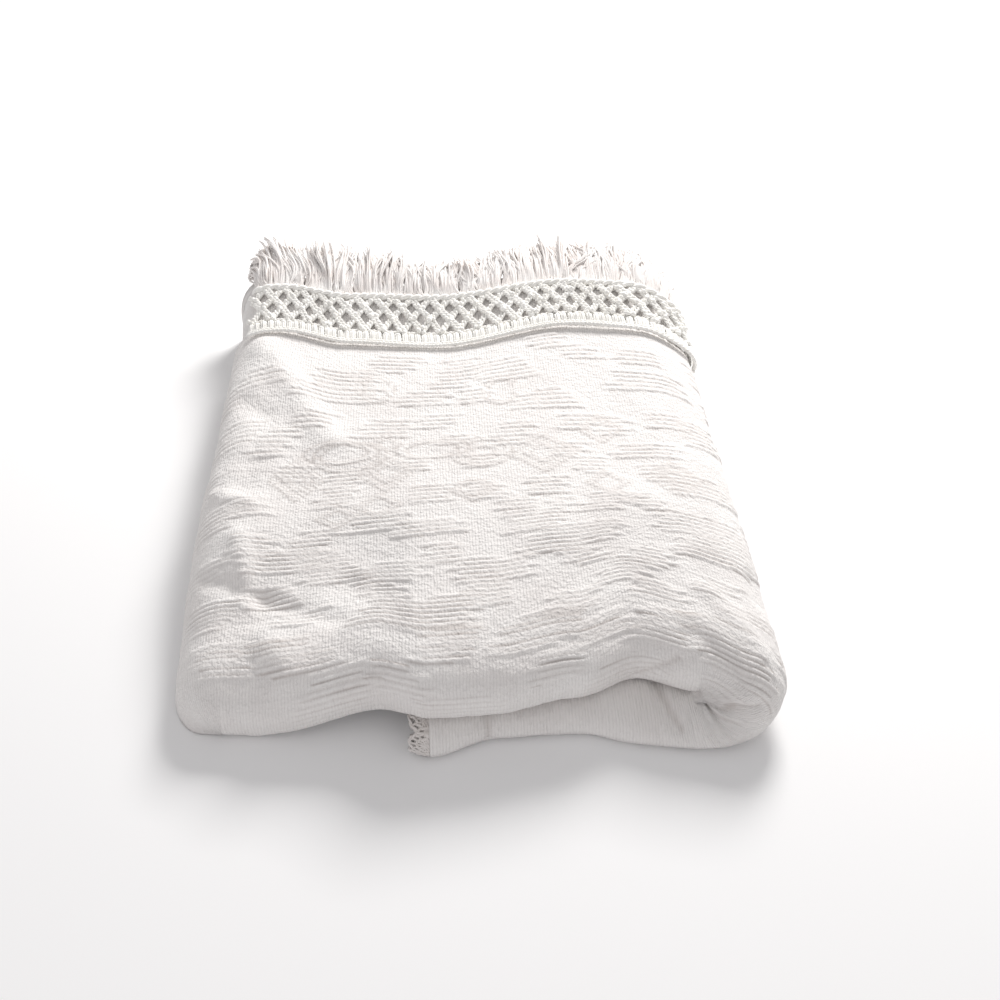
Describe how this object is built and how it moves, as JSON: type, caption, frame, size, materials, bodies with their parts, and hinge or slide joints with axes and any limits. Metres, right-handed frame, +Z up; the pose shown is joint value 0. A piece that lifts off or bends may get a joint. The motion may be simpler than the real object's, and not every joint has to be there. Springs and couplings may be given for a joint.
{
  "type": "folded bedspread",
  "caption": "Folded white matelasse bedspread, folded back and forth and turned under, with a knotted openwork trim and a cut fringe along its foot edge.",
  "frame": {"origin": "middle of the whole in plan, on the surface that the folded pack rests on", "axes": "+Z up, +Y from the rounded front fold towards the fringe, +X across the pack towards the side where it is turned under"},
  "size_m": [0.3892, 0.522, 0.0806],
  "materials": {
    "cloth_cotton": "matte woven cotton, white",
    "trim_cotton": "matte twisted cotton yarn, warm white",
    "fringe_cotton": "matte cut cotton yarn, slightly pinkish white"
  },
  "bodies": {
    "root": {"folded_cloth": "cloth_cotton", "trim_heading": "trim_cotton", "trim_lattice": "trim_cotton", "trim_fringe": "fringe_cotton", "side_trim": "trim_cotton"}
  },
  "joints": []
}
